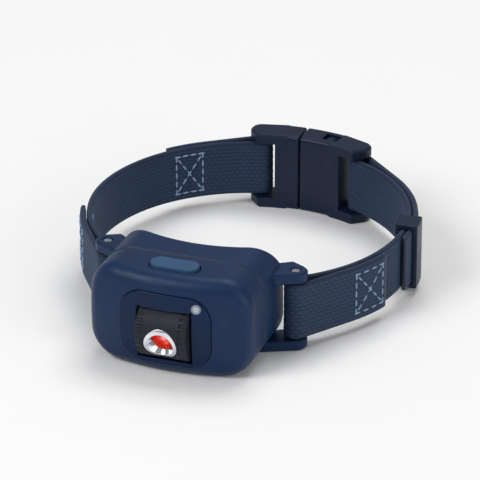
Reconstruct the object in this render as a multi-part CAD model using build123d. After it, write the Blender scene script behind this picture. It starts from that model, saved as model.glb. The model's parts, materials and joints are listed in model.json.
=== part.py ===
from build123d import *
import math
import os

# Laser collar: a navy throat pod with a tilting laser turret, on a webbing band with a breakaway clip.
# Millimetres. Origin on the neck axis at the middle of the webbing's width, +Z up, pod at -Y, clip at +Y.
# A bearing is an angle about the neck axis, 0 at the pod, 90 on the right (+X) and 180 at the clip.

# Neck loop, webbing and keeper
neck_radius = 31.0
strap_width = 12.0
strap_thickness = 1.3
layer_gap = 0.05
front_fold = 10.0
tongue_fold = 9.0
tail_length = 30.0
keeper_wall = 0.9
keeper_length = 5.0
keeper_edge = 0.25
keeper_clearance = 0.15
keeper_bearing = 96.0

# Bars that the webbing turns round, and the ears that hold them
bar_radius = 1.0
pin_clearance = 0.02
pin_inset = 0.3
pin_edge = 0.2
wrap_clearance = 0.1
ear_clearance = 0.3
ear_thickness = 2.2
ear_edge = 0.4
lug_gap = 0.5
lug_root = 1.0

# Breakaway clip, lengths along the loop
clip_wall = 1.3
clip_cover = 0.3
clip_edge = 0.8
clip_end_edge = 0.4
mouth_gap = 0.3
tongue_block = 5.8
arm_length = 9.0
arm_height = 2.1
arm_play = 0.25
arm_clearance = 0.6
shoulder_start = 5.2
shoulder_length = 2.8
shoulder_inset = 0.4
shoulder_ramp = 0.9
shoulder_release = 0.4
arm_tip_edge = 0.4
window_margin = 0.35
prong_length = 6.0
prong_height = 3.0
socket_length = 10.4
grip_groove = 0.5
grip_lift = 0.2
grip_pitch = 1.5
grip_count = 3

# Pod housing
pod_width = 34.0
pod_height = 21.0
pod_depth = 18.0
pod_corner = 6.5
pod_wall = 1.8
front_wall = 2.0
dome_radius = 46.0
front_edge = 3.0
inner_edge = 1.4
neck_edge = 0.8
cover_depth = 6.4
rim_edge = 0.25
gasket_thickness = 0.6
gasket_inset = 0.25

# Cover screws and their bosses
boss_inset = 4.05
boss_port_gap = 0.4
boss_radius = 1.9
tower_radius = 2.5
screw_radius = 0.85
screw_clearance = 0.1
pilot_clearance = 0.02
head_radius = 1.6
head_height = 1.2
head_clearance = 0.2
head_depth = 2.5
head_edge = 0.25
well_edge = 0.25
thread_depth = 4.0
pilot_spare = 0.4
drive_width = 0.5
drive_span = 1.9
drive_depth = 0.6

# Face plate, its borders beside the turret and inside the pod's outline
plate_side = 4.2
plate_top_border = 3.4
plate_bottom_border = 2.3
plate_corner = 5.0
plate_seat = 0.8
plate_proud = 0.3
plate_clearance = 0.1
plate_edge = 0.2
window_edge = 0.2

# Tilting laser turret
drum_width = 10.6
drum_proud = 2.4
drum_clearance = 0.3
drum_floor_gap = 1.2
drum_headroom = 4.0
drum_board_gap = 0.2
drum_edge = 0.6
rest_tilt = 15.0
aim_travel = 15.0
trunnion_radius = 1.5
trunnion_length = 1.8
trunnion_clearance = 0.03
saddle_gap = 0.4
saddle_thickness = 1.6
saddle_height = 6.4
saddle_play = 0.4
groove_radius = 0.4
groove_depth = 0.25
groove_step = 12.0
groove_count = 13
bezel_radius = 3.45
bezel_opening = 1.9
bezel_thickness = 0.4
bezel_recess = 0.1
bezel_play = 0.1
bezel_flare = 30.0
bezel_edge = 0.12

# Laser module
barrel_radius = 3.25
barrel_length = 8.5
barrel_bore = 2.2
lens_seat_depth = 2.2
lens_radius = 2.55
lens_thickness = 1.4
lens_curve = 6.0
lens_play = 0.03
nut_opening = 1.9
diode_seat_depth = 1.35
diode_flange_radius = 2.8
diode_flange = 1.2
diode_can_radius = 1.75
diode_can_length = 2.3
diode_window = 0.8
diode_pin_radius = 0.23
diode_pin_length = 1.7
diode_pin_circle = 0.9

# Turret retainer
retainer_thickness = 1.2
retainer_bar = 1.4
retainer_seat = 0.1
retainer_floor = 0.2

# Circuit board, switch, button and status light
board_thickness = 0.8
board_setback = 0.8
board_clearance = 0.3
board_notch_width = 8.0
board_notch_rise = 4.6
switch_width = 6.0
switch_depth = 3.4
switch_height = 2.0
plunger_radius = 1.0
plunger_height = 0.7
plunger_reach = 0.4
plunger_play = 0.1
plunger_spare = 0.2
button_travel = 0.5
button_width = 10.0
button_depth = 4.2
button_corner = 2.0
button_proud = 0.7
button_play = 0.15
button_flange = 0.6
button_flange_lip = 0.6
button_board_gap = 0.2
button_seat = 0.05
button_edge = 0.3
button_rim = 0.25
dish_radius = 24.0
dish_depth = 0.22
led_width = 1.6
led_depth = 0.8
light_side = 2.9
light_drop = 2.1
pipe_radius = 1.0
pipe_flange_radius = 1.5
pipe_flange = 0.6
pipe_gap = 0.1
pipe_clearance = 0.05

# Charging port and its flap
port_width = 7.5
port_thickness = 2.5
port_depth = 5.2
port_shell = 0.3
port_chamfer = 0.7
port_setback = 1.0
port_play = 0.25
port_tongue_width = 4.6
port_tongue_thickness = 0.6
port_tongue_setback = 0.9
flap_height = 9.0
flap_width = 4.4
flap_thickness = 0.9
flap_corner = 1.2
flap_clearance = 0.12
flap_hinge_radius = 0.6
flap_hinge_inset = 0.2
flap_hinge_length = 3.2
flap_lip = 0.4
flap_lip_height = 0.8
flap_lip_edge = 0.12
flap_edge = 0.2
plug_width = 6.0
plug_thickness = 1.2
plug_corner = 0.54
plug_depth = 0.6

# Battery and leads
cell_side_gap = 0.45
cell_headroom = 1.2
cell_thickness = 4.0
cell_edge = 0.8
pad_width = 10.0
pad_height = 8.0
pad_thickness = 0.5
lead_radius = 0.3
lead_spacing = 1.8
lead_bend = 0.45
lead_rise = 0.55
lead_cell_gap = 0.9
lead_pad_height = 1.1

# Chips right of the turret: width, height, thickness, gap to the saddle, Z of the middle
saddle_chips = (
    (3.9, 4.9, 1.5, 0.35, 0.6),
    (1.6, 0.8, 0.7, 0.35, 3.55),
    (1.6, 0.8, 0.7, 2.15, 3.55),
    (2.5, 1.8, 1.0, 0.35, 5.05),
)

# Chips left of the switch: width, height, thickness, gap to the switch, drop of the middle from the ceiling
switch_chips = (
    (1.6, 0.8, 0.7, 2.8, 2.9),
    (1.6, 0.8, 0.7, 2.8, 4.3),
)

# Places that follow from the sizes above
strap_inner = neck_radius + keeper_wall + keeper_clearance
inner_layer = strap_inner + strap_thickness / 2
outer_layer = inner_layer + strap_thickness + layer_gap
wrap_radius = bar_radius + wrap_clearance + strap_thickness / 2
wrap_outer = wrap_radius + strap_thickness / 2
bar_orbit = inner_layer + wrap_radius
fold_lead = math.degrees(math.acos((outer_layer - wrap_radius) / bar_orbit))
fold_run = bar_orbit * math.sin(math.radians(fold_lead))
ear_near = strap_width / 2 + ear_clearance
ear_far = ear_near + ear_thickness
ear_radius = wrap_outer
lug_bearing = math.degrees(math.asin((pod_width / 2 + lug_gap + wrap_outer) / bar_orbit))

pod_bottom = -ear_far
pod_top = pod_bottom + pod_height
pod_centre = pod_bottom + pod_height / 2
pod_side = pod_width / 2
front_y = -(neck_radius + pod_depth)
dome_y = front_y + dome_radius
cover_rim = -(neck_radius + cover_depth)
shell_rim = cover_rim - gasket_thickness
board_rear = shell_rim - board_setback
board_front = board_rear - board_thickness
head_seat = -(neck_radius + head_depth)
boss_rise = port_width / 2 + boss_port_gap + boss_radius
boss_points = [
    (side * (pod_side - boss_inset), pod_centre + end * boss_rise)
    for side in (-1, 1)
    for end in (-1, 1)
]
ceiling = pod_top - pod_wall
floor = pod_bottom + pod_wall

drum_radius = (ceiling - floor - drum_floor_gap - drum_headroom) / 2
pivot_y = front_y - drum_proud + drum_radius
pivot_z = floor + drum_floor_gap + drum_radius
drum_reach = board_front - drum_board_gap - pivot_y
rear_corner = math.acos(min(1, drum_reach / drum_radius)) + math.radians(rest_tilt + aim_travel)
drum_rear = drum_radius * math.cos(rear_corner)
barrel_front = bezel_recess + bezel_thickness - math.sqrt(drum_radius**2 - bezel_radius**2)
barrel_rear = barrel_front + barrel_length
saddle_inner = drum_width / 2 + saddle_gap
saddle_outer = saddle_inner + saddle_thickness
retainer_front = board_front - retainer_seat - retainer_thickness
saddle_rear = retainer_front - saddle_play
board_notch_top = pivot_z + board_notch_rise

plate_width = drum_width + 2 * plate_side
plate_height = pod_height - plate_top_border - plate_bottom_border
plate_rise = pod_bottom + plate_bottom_border + plate_height / 2
light_x = plate_width / 2 - light_side
light_z = plate_rise + plate_height / 2 - light_drop

plunger_y = board_front - switch_depth / 2
button_y = board_front - button_board_gap - button_flange_lip - button_depth / 2
flange_top = ceiling - button_seat
flange_bottom = flange_top - button_flange
plunger_top = flange_bottom - button_seat
switch_top = plunger_top - plunger_height

port_y = board_front - port_thickness / 2
port_mouth = -pod_side + port_setback
flap_outer = -pod_side
flap_inner = flap_outer + flap_thickness
flap_bottom = pod_centre - flap_height / 2
hinge_x = -pod_side + flap_hinge_inset
hinge_z = flap_bottom - flap_hinge_radius / 2

cell_width = 2 * (pod_side - boss_inset - tower_radius - cell_side_gap)
cell_height = ceiling - floor - 2 * cell_headroom
cell_rear = -(neck_radius + pod_wall + pad_thickness)
cell_front = cell_rear - cell_thickness

clip_outer = bar_orbit + wrap_outer + clip_cover
cavity_inner = neck_radius + clip_wall
cavity_outer = clip_outer - clip_wall
cavity_half = ear_far - clip_wall
bar_setback = wrap_outer + lug_gap + clip_cover
tongue_bar = 180 + math.degrees((mouth_gap / 2 + tongue_block + bar_setback) / bar_orbit)
socket_bar = 180 - math.degrees((mouth_gap / 2 + socket_length + bar_setback) / bar_orbit)


def prism(sketch, y_rear, y_front):
    """Extrude a sketch drawn in X and Z along Y."""
    return extrude(Plane.XZ.offset(-y_rear) * sketch, y_rear - y_front)


def across(sketch, x_from, x_to):
    """Extrude a sketch drawn in Y and Z along X."""
    return extrude(Plane.YZ.offset(x_from) * sketch, x_to - x_from)


def slab(sketch, z_from, z_to):
    """Extrude a sketch drawn in X and Y along Z."""
    return extrude(Plane.XY.offset(z_from) * sketch, z_to - z_from)


def at_bearing(radius, bearing):
    angle = math.radians(bearing)
    return (radius * math.sin(angle), -radius * math.cos(angle))


def clip_bearing(length):
    """Bearing of a place on the clip, counted along the loop from the mouth towards the socket."""
    return 180 - math.degrees(length / bar_orbit)


def ring_part(section, bearing_from, bearing_to):
    """Turn a section drawn in radius and Z about the neck axis, between two bearings."""
    turned = revolve(Plane.XZ * section, Axis.Z, bearing_to - bearing_from)
    return Rot(0, 0, bearing_from - 90) * turned


def ring_section(inner, outer, low, high, corner=0.0):
    middle = Pos((inner + outer) / 2, (low + high) / 2)
    if corner > 0:
        return middle * RectangleRounded(outer - inner, high - low, corner)
    return middle * Rectangle(outer - inner, high - low)


def clip_part(inner, outer, low, high, start, end, corner=0.0):
    """Block of the clip between two lengths along the loop, start nearer to the tongue."""
    section = ring_section(inner, outer, low, high, corner)
    return ring_part(section, clip_bearing(end), clip_bearing(start))


def neck_cylinder(radius=neck_radius):
    return Cylinder(radius, 4 * pod_height)


def pod_outline(inset=0.0):
    sketch = RectangleRounded(pod_width - 2 * inset, pod_height - 2 * inset, pod_corner - inset)
    return Pos(0, pod_centre) * sketch


def dome(inset=0.0):
    return Pos(0, dome_y, pod_centre) * Sphere(dome_radius - inset)


def domed_block(side_inset, front_inset, edge):
    """Front half of the pod, inset from its outside, with its front edge rounded."""
    block = prism(pod_outline(side_inset), shell_rim, 2 * front_y) & dome(front_inset)
    return fillet(block.faces().filter_by(GeomType.SPHERE).edges(), edge)


def screw_columns(radius, y_rear, y_front):
    columns = [prism(Pos(x, z) * Circle(radius), y_rear, y_front) for x, z in boss_points]
    return columns[0] + columns[1:]


def ear_pair(bearing, roots):
    """Two flat ears over and under the webbing, round at the bar, with a foot on the neck circle."""
    points = [at_bearing(neck_radius + lug_root / 2, bearing)] + roots
    circles = [Pos(*at_bearing(bar_orbit, bearing)) * Circle(ear_radius)]
    circles += [Pos(*point) * Circle(lug_root) for point in points]
    outline = make_hull([circle.edge() for circle in circles])
    ear = slab(outline, ear_near, ear_far)
    ear = chamfer(ear.faces().sort_by(Axis.Z)[-1].edges(), ear_edge)
    ear = chamfer(ear.faces().sort_by(Axis.Z)[0].edges(), ear_edge / 2) - neck_cylinder()
    return ear + mirror(ear, Plane.XY)


def drum_window():
    opening = across(Circle(drum_radius + drum_clearance), -drum_width / 2 - drum_clearance,
                     drum_width / 2 + drum_clearance)
    return Pos(0, pivot_y, pivot_z) * opening


def plate_outline(grow=0.0):
    sketch = RectangleRounded(plate_width + 2 * grow, plate_height + 2 * grow, plate_corner + grow)
    return Pos(0, plate_rise) * sketch


def saddles():
    """Two upright plates inside the front shell, slotted from behind for the turret's trunnions."""
    slot = 2 * (trunnion_radius + trunnion_clearance)
    depth = saddle_rear - front_y
    plate = Pos(front_y + depth / 2, pivot_z) * Rectangle(depth, saddle_height)
    run = saddle_rear - pivot_y
    plate -= Pos(pivot_y, pivot_z) * Circle(slot / 2) + Pos(pivot_y + run / 2, pivot_z) * Rectangle(run, slot)
    return across(plate, saddle_inner, saddle_outer) + across(plate, -saddle_outer, -saddle_inner)


def button_outline(grow):
    sketch = RectangleRounded(button_width + 2 * grow, button_depth + 2 * grow, button_corner + grow)
    return Pos(0, button_y) * sketch


def flap_outline(grow):
    sketch = RectangleRounded(flap_width + 2 * grow, flap_height + 2 * grow, flap_corner + grow)
    return Pos(port_y, pod_centre) * sketch


def flap_barrel(grow):
    half = flap_hinge_length / 2 + grow
    rod = Pos(hinge_x, hinge_z) * Circle(flap_hinge_radius + grow)
    neck = Pos((flap_outer + flap_inner) / 2, (hinge_z + flap_bottom + flap_corner) / 2)
    neck *= Rectangle(flap_thickness + 2 * grow, flap_bottom + flap_corner - hinge_z)
    return prism(rod, port_y + half, port_y - half) + prism(neck, port_y + half, port_y - half)


def front_shell():
    inside = domed_block(pod_wall, front_wall, inner_edge)
    inside -= screw_columns(boss_radius, board_front, 2 * front_y)
    inside -= saddles()
    block = domed_block(0, 0, front_edge)
    shell = chamfer(block.faces().sort_by(Axis.Y)[-1].edges(), rim_edge) - inside
    shell -= screw_columns(screw_radius + pilot_clearance, shell_rim,
                           board_front - thread_depth - pilot_spare)
    shell -= drum_window()
    trunnion_hole = Pos(pivot_y, pivot_z) * Circle(trunnion_radius + trunnion_clearance)
    shell -= across(trunnion_hole, -saddle_outer, saddle_outer)
    shell -= prism(plate_outline(plate_clearance), shell_rim, 2 * front_y) - dome(plate_seat)
    shell -= prism(Pos(light_x, light_z) * Circle(pipe_radius + pipe_clearance), shell_rim, 2 * front_y)
    shell -= slab(button_outline(button_play), floor + pod_height / 2, pod_top + pod_height)
    top = shell.faces().filter_by(GeomType.PLANE).sort_by(Axis.Z)[-1]
    shell = chamfer(top.inner_wires()[0].edges(), button_rim)
    shell -= across(flap_outline(flap_clearance), 2 * flap_outer, flap_inner + flap_clearance)
    shell -= flap_barrel(flap_clearance)
    shell -= across(port_outline(port_play), 2 * flap_outer, port_mouth + port_depth)
    return shell


def face_plate():
    plate = prism(plate_outline(), shell_rim, 2 * front_y) & dome(-plate_proud)
    plate = fillet(plate.faces().filter_by(GeomType.SPHERE).edges(), plate_edge)
    plate -= dome(plate_seat)
    plate -= drum_window()
    front = plate.faces().filter_by(GeomType.SPHERE).sort_by(Axis.Y)[0]
    plate = chamfer(front.inner_wires()[0].edges(), window_edge)
    return plate - prism(Pos(light_x, light_z) * Circle(pipe_radius + pipe_clearance), shell_rim, 2 * front_y)


def lug_bar(side):
    x, y = at_bearing(bar_orbit, lug_bearing)
    return (side * x, y)


def rear_cover():
    block = prism(pod_outline(), 0, cover_rim) - neck_cylinder()
    neck_face = block.faces().filter_by(GeomType.CYLINDER).sort_by(lambda face: abs(face.center().X))[0]
    block = fillet(neck_face.edges(), neck_edge)
    block = chamfer(block.faces().sort_by(Axis.Y)[0].edges(), rim_edge)
    root_x = pod_side - pod_corner
    lugs = ear_pair(lug_bearing, [(root_x, cover_rim + cover_depth / 2), (root_x, -neck_radius)])
    block += lugs
    block += mirror(lugs, Plane.YZ)
    inside = prism(pod_outline(pod_wall), 0, cover_rim) - neck_cylinder(neck_radius + pod_wall)
    cover = block - (inside - screw_columns(tower_radius, 0, cover_rim))
    cover += screw_columns(tower_radius, head_seat, board_rear) & prism(pod_outline(pod_wall), 0, board_rear)
    cover -= screw_columns(head_radius + head_clearance, 0, head_seat)
    neck_face = cover.faces().filter_by(GeomType.CYLINDER).sort_by(SortBy.AREA)[-1]
    cover = chamfer([edge for wire in neck_face.inner_wires() for edge in wire.edges()], well_edge)
    cover -= screw_columns(screw_radius + screw_clearance, 0, board_rear)
    for side in (-1, 1):
        cover -= Pos(*lug_bar(side)) * pin_hole()
    return cover


def pin_hole():
    """Bore through both ears, opened out at its two ends."""
    radius = bar_radius + pin_clearance
    mouth = Pos(0, 0, ear_far - pin_edge / 2) * Cone(radius, radius + pin_edge, pin_edge)
    return Cylinder(radius, 4 * ear_far) + mouth + mirror(mouth, Plane.XY)


def seal_gasket():
    ring = pod_outline(gasket_inset) - pod_outline(pod_wall - gasket_inset)
    return prism(ring, cover_rim, shell_rim)


def cover_screws():
    shank = prism(Circle(screw_radius), 0, board_front - thread_depth - head_seat)
    head = prism(Circle(head_radius), head_height, 0)
    head = fillet(head.edges().sort_by(Axis.Y)[-1], head_edge)
    drive = Rectangle(drive_width, drive_span) + Rectangle(drive_span, drive_width)
    screw = shank + head - prism(drive, head_height, head_height - drive_depth)
    return Compound([Pos(x, head_seat, z) * screw for x, z in boss_points])


def aimed(piece):
    """Carry a piece drawn about the turret's pivot, facing -Y, to its place and resting tilt."""
    return Pos(0, pivot_y, pivot_z) * Rot(rest_tilt, 0, 0) * piece


def laser_turret():
    half = drum_width / 2
    drum = across(Circle(drum_radius), -half, half)
    drum = fillet(drum.edges().filter_by(GeomType.CIRCLE), drum_edge)
    drum -= prism(Rectangle(2 * drum_width, 4 * drum_radius), 2 * drum_radius, drum_rear)
    orbit = drum_radius + groove_radius - groove_depth
    band = bezel_radius + 2 * bezel_play
    for step in range(groove_count):
        angle = math.radians((step - (groove_count - 1) / 2) * groove_step)
        groove = Pos(-orbit * math.cos(angle), orbit * math.sin(angle)) * Circle(groove_radius)
        drum -= across(groove, band, half) + across(groove, -half, -band)
    drum -= prism(Circle(bezel_radius + bezel_play), barrel_front, -2 * drum_radius)
    drum -= prism(Circle(barrel_radius), 2 * drum_radius, -2 * drum_radius)
    reach = half + trunnion_length
    for start, end in ((half, reach), (-reach, -half)):
        drum += across(Circle(trunnion_radius), start, end)
    return aimed(drum)


def laser_barrel():
    tube = prism(Circle(barrel_radius) - Circle(barrel_bore), barrel_rear, barrel_front)
    tube -= prism(Circle(lens_radius + lens_play), barrel_front + lens_seat_depth, barrel_front)
    tube -= prism(Circle(diode_flange_radius + lens_play), barrel_rear, barrel_rear - diode_seat_depth)
    return aimed(tube)


def aperture_bezel():
    """Bright ring let into the drum, its front curved with the drum and its opening flared."""
    ring = prism(Circle(bezel_radius), barrel_front, -2 * drum_radius)
    ring &= across(Circle(drum_radius - bezel_recess), -drum_width, drum_width)
    depth = drum_radius + barrel_front
    mouth = bezel_opening + depth * math.tan(math.radians(bezel_flare))
    ring -= Pos(0, barrel_front - depth / 2, 0) * Rot(90, 0, 0) * Cone(bezel_opening, mouth, depth)
    front = ring.faces().filter_by(GeomType.CYLINDER).sort_by(Axis.Y)[0]
    return aimed(fillet(front.edges(), bezel_edge))


def collimating_lens():
    flat = barrel_front + lens_seat_depth
    disc = prism(Circle(lens_radius), flat, flat - lens_thickness)
    return aimed(disc & Pos(0, flat - lens_thickness + lens_curve, 0) * Sphere(lens_curve))


def lens_nut():
    seat = barrel_front + lens_seat_depth - lens_thickness
    return aimed(prism(Circle(lens_radius) - Circle(nut_opening), seat, barrel_front))


def laser_diode():
    seat = barrel_rear - diode_seat_depth
    diode = prism(Circle(diode_flange_radius), seat + diode_flange, seat)
    diode += prism(Circle(diode_can_radius) - Circle(diode_window), seat, seat - diode_can_length)
    for side in (-1, 1):
        pin = Pos(side * diode_pin_circle, 0) * Circle(diode_pin_radius)
        diode += prism(pin, seat + diode_flange + diode_pin_length, seat + diode_flange)
    return aimed(diode)


def turret_retainer():
    """U-shaped bracket behind the turret: two fingers close the saddles, joined by a bar below the barrel."""
    rear = board_front - retainer_seat
    width = saddle_thickness
    middle = (saddle_inner + saddle_outer) / 2
    base = floor + retainer_floor
    leg = pivot_z + trunnion_radius - base
    frame = Pos(0, base + retainer_bar / 2) * Rectangle(2 * saddle_outer, retainer_bar)
    for side in (-1, 1):
        frame += Pos(side * middle, base + leg / 2) * Rectangle(width, leg)
    bracket = prism(frame, rear, retainer_front)
    reach = pivot_y + trunnion_radius + trunnion_clearance
    for side in (-1, 1):
        tip = Pos(side * middle, pivot_z) * Rectangle(width, 2 * trunnion_radius)
        bracket += prism(tip, retainer_front, reach)
    return bracket


def circuit_board():
    board = pod_outline(pod_wall + board_clearance)
    low = pod_bottom
    notch_height = board_notch_top - low
    board -= Pos(0, low + notch_height / 2) * Rectangle(board_notch_width, notch_height)
    for x, z in boss_points:
        board -= Pos(x, z) * Circle(screw_radius + screw_clearance)
    return prism(board, board_rear, board_front)


def board_components():
    places = []
    for width, height, thickness, gap, z in saddle_chips:
        places.append((saddle_outer + gap + width / 2, z, width, height, thickness))
    for width, height, thickness, gap, drop in switch_chips:
        places.append((-(switch_width / 2 + gap + width / 2), ceiling - drop, width, height, thickness))
    blocks = []
    for x, z, width, height, thickness in places:
        blocks.append(prism(Pos(x, z) * Rectangle(width, height), board_front, board_front - thickness))
    return Compound(blocks)


def mode_switch():
    body = Pos(0, switch_top - switch_height / 2) * Rectangle(switch_width, switch_height)
    well_floor = switch_top - plunger_reach - button_travel - plunger_spare
    well = slab(Pos(0, plunger_y) * Circle(plunger_radius + plunger_play), well_floor, plunger_top)
    return prism(body, board_front, board_front - switch_depth) - well


def switch_plunger():
    return slab(Pos(0, plunger_y) * Circle(plunger_radius), switch_top - plunger_reach, plunger_top)


def mode_button():
    crown = pod_top + button_proud
    cap = slab(button_outline(0), flange_bottom, crown)
    cap = fillet(cap.faces().sort_by(Axis.Z)[-1].edges(), button_edge)
    cap -= Pos(0, button_y, crown - dish_depth + dish_radius) * Sphere(dish_radius)
    return cap + slab(button_outline(button_flange_lip), flange_bottom, flange_top)


def status_led():
    chip = Pos(light_x, light_z) * Rectangle(led_width, led_depth)
    return prism(chip, board_front, board_front - led_depth)


def light_pipe():
    spot = Pos(light_x, light_z)
    rear = board_front - led_depth - pipe_gap
    rod = prism(spot * Circle(pipe_radius), rear, 2 * front_y) & dome(-plate_proud)
    reach = math.hypot(light_x, light_z - pod_centre) + pipe_flange_radius
    wall = dome_y - math.sqrt((dome_radius - front_wall)**2 - reach**2)
    seat = wall + pipe_clearance
    return rod + prism(spot * Circle(pipe_flange_radius), seat + pipe_flange, seat)


def port_outline(grow=0.0):
    sketch = Rectangle(port_thickness + 2 * grow, port_width + 2 * grow)
    near_front = sketch.vertices().group_by(Axis.X)[0]
    return Pos(port_y, pod_centre) * chamfer(near_front, port_chamfer)


def usb_port():
    outer = port_outline()
    inner = port_outline(-port_shell)
    back = port_mouth + port_depth
    port = across(outer, port_mouth, back) - across(inner, port_mouth, back - port_shell)
    tongue = Pos(port_y, pod_centre) * Rectangle(port_tongue_thickness, port_tongue_width)
    return port + across(tongue, port_mouth + port_tongue_setback, back - port_shell)


def port_flap():
    panel = across(flap_outline(0), flap_outer, flap_inner)
    panel = fillet(panel.faces().sort_by(Axis.X)[0].edges(), flap_edge)
    lip = Pos(port_y, pod_centre + flap_height / 2 - flap_corner)
    lip *= Rectangle(flap_width - 2 * flap_corner, flap_lip_height)
    lip = across(lip, flap_outer - flap_lip, flap_inner)
    panel += chamfer(lip.faces().sort_by(Axis.X)[0].edges(), flap_lip_edge)
    plug = Pos(port_y, pod_centre) * RectangleRounded(plug_thickness, plug_width, plug_corner)
    panel += across(plug, flap_inner, port_mouth + plug_depth)
    return panel + flap_barrel(0)


def battery_cell():
    cell = prism(Pos(0, pod_centre) * Rectangle(cell_width, cell_height), cell_rear, cell_front)
    return fillet(cell.edges().filter_by(Axis.Z), cell_edge)


def battery_pad():
    pad = prism(Pos(0, pod_centre) * Rectangle(pad_width, pad_height), 0, cell_rear)
    return pad - neck_cylinder(neck_radius + pod_wall)


def lead(points):
    """Round insulated wire along a route of straight runs and small arcs."""
    route = FilletPolyline(*points, radius=lead_bend)
    start = Vector(points[0])
    heading = Vector(points[1]) - start
    return sweep(Plane(start, z_dir=heading) * Circle(lead_radius), route)


def battery_leads():
    top = pod_centre + cell_height / 2
    middle = (cell_rear + cell_front) / 2
    wires = []
    for side in (-1, 1):
        x = side * lead_spacing / 2
        wires.append(lead([(x, middle, top), (x, middle, top + lead_rise), (x, board_rear, top + lead_rise)]))
    return Compound(wires)


def laser_leads():
    tip = barrel_rear - diode_seat_depth + diode_flange + diode_pin_length
    tilt = math.radians(rest_tilt)
    start_y = pivot_y + tip * math.cos(tilt)
    start_z = pivot_z + tip * math.sin(tilt)
    bend_y = cell_front - lead_cell_gap
    bend_z = start_z + (bend_y - start_y) * math.tan(tilt)
    pad_z = board_notch_top + lead_pad_height
    wires = []
    for side in (-1, 1):
        x = side * diode_pin_circle
        rise = [(x, start_y, start_z), (x, bend_y, bend_z), (x, bend_y, pad_z)]
        wires.append(lead(rise + [(x, board_rear, pad_z)]))
    return Compound(wires)


def strap_pin(side):
    pin = Cylinder(bar_radius, 2 * (ear_far - pin_inset))
    return Pos(*lug_bar(side)) * chamfer(pin.edges().filter_by(GeomType.CIRCLE), pin_edge)


def band(point, heading, moves, thickness):
    """Outline of a band whose middle line makes straight and arc moves, each tangent to the last.

    A move is a radius and a turn in degrees, positive to the left, or None and a length.
    """
    half = thickness / 2
    x, y = point
    left = []
    right = []
    for radius, amount in moves:
        angle = math.radians(heading)
        side_x, side_y = -math.sin(angle), math.cos(angle)
        if radius is None:
            end_x, end_y = x + amount * math.cos(angle), y + amount * math.sin(angle)
            for edges, offset in ((left, half), (right, -half)):
                start = (x + offset * side_x, y + offset * side_y)
                edges.append(Line(start, (end_x + offset * side_x, end_y + offset * side_y)))
            x, y = end_x, end_y
            continue
        hand = math.copysign(1, amount)
        centre = (x + hand * radius * side_x, y + hand * radius * side_y)
        start_angle = heading - hand * 90
        left.append(CenterArc(centre, radius - hand * half, start_angle, amount))
        right.append(CenterArc(centre, radius + hand * half, start_angle, amount))
        heading += amount
        end_angle = math.radians(start_angle + amount)
        x, y = centre[0] + radius * math.cos(end_angle), centre[1] + radius * math.sin(end_angle)
    caps = [Line(left[0] @ 0, right[0] @ 0), Line(left[-1] @ 1, right[-1] @ 1)]
    return make_face(left + right + caps)


def strap(clip_bar, clip_fold):
    """Webbing from a pod bar to a clip bar on the right side, folded back outside itself at both ends."""
    front_turn = math.degrees(front_fold / outer_layer)
    rear_turn = math.degrees(clip_fold / outer_layer)
    start = lug_bearing + fold_lead + front_turn
    wrap_turn = 180 + fold_lead
    moves = [
        (outer_layer, -front_turn),
        (None, fold_run),
        (wrap_radius, -wrap_turn),
        (inner_layer, clip_bar - lug_bearing),
        (wrap_radius, -wrap_turn),
        (None, fold_run),
        (outer_layer, -rear_turn),
    ]
    outline = band(at_bearing(outer_layer, start), start - 180, moves, strap_thickness)
    return slab(outline, -strap_width / 2, strap_width / 2)


def left_strap():
    return mirror(strap(360 - tongue_bar, tongue_fold), Plane.YZ)


def right_strap():
    return strap(socket_bar, tail_length)


def clip_ears(bar_bearing, block_end, inward):
    """Ears and bar at the webbing end of a clip half; inward is +1 or -1, from the ears to the block."""
    root = block_end + inward * math.degrees(2 * lug_root / bar_orbit)
    roots = [at_bearing(neck_radius + lug_root / 2, root), at_bearing(clip_outer - lug_root, root)]
    bar = Pos(*at_bearing(bar_orbit, bar_bearing)) * Cylinder(bar_radius, 2 * (ear_near + ear_edge))
    return ear_pair(bar_bearing, roots) + bar


def clip_block(start, end):
    block = clip_part(neck_radius, clip_outer, -ear_far, ear_far, start, end, clip_edge)
    ends = block.faces().filter_by(GeomType.PLANE).sort_by(Axis.X)
    ends = [ends[0], ends[-1]]
    return fillet([edge for face in ends for edge in face.edges()], clip_end_edge)


def grip_grooves(middle):
    """Shallow ribs across the outside of a clip half."""
    cuts = []
    for step in range(grip_count):
        place = middle + (step - (grip_count - 1) / 2) * grip_pitch
        x, y = at_bearing(clip_outer + grip_lift, clip_bearing(place))
        cuts.append(Pos(x, y) * Cylinder(grip_groove, 2 * (ear_far - 2 * clip_edge)))
    return cuts[0] + cuts[1:]


def blunted(arm):
    """Chamfer the free end of an arm of the tongue."""
    tip = arm.faces().filter_by(GeomType.PLANE).sort_by(Axis.X)[-1]
    return chamfer(tip.edges(), arm_tip_edge)


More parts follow.
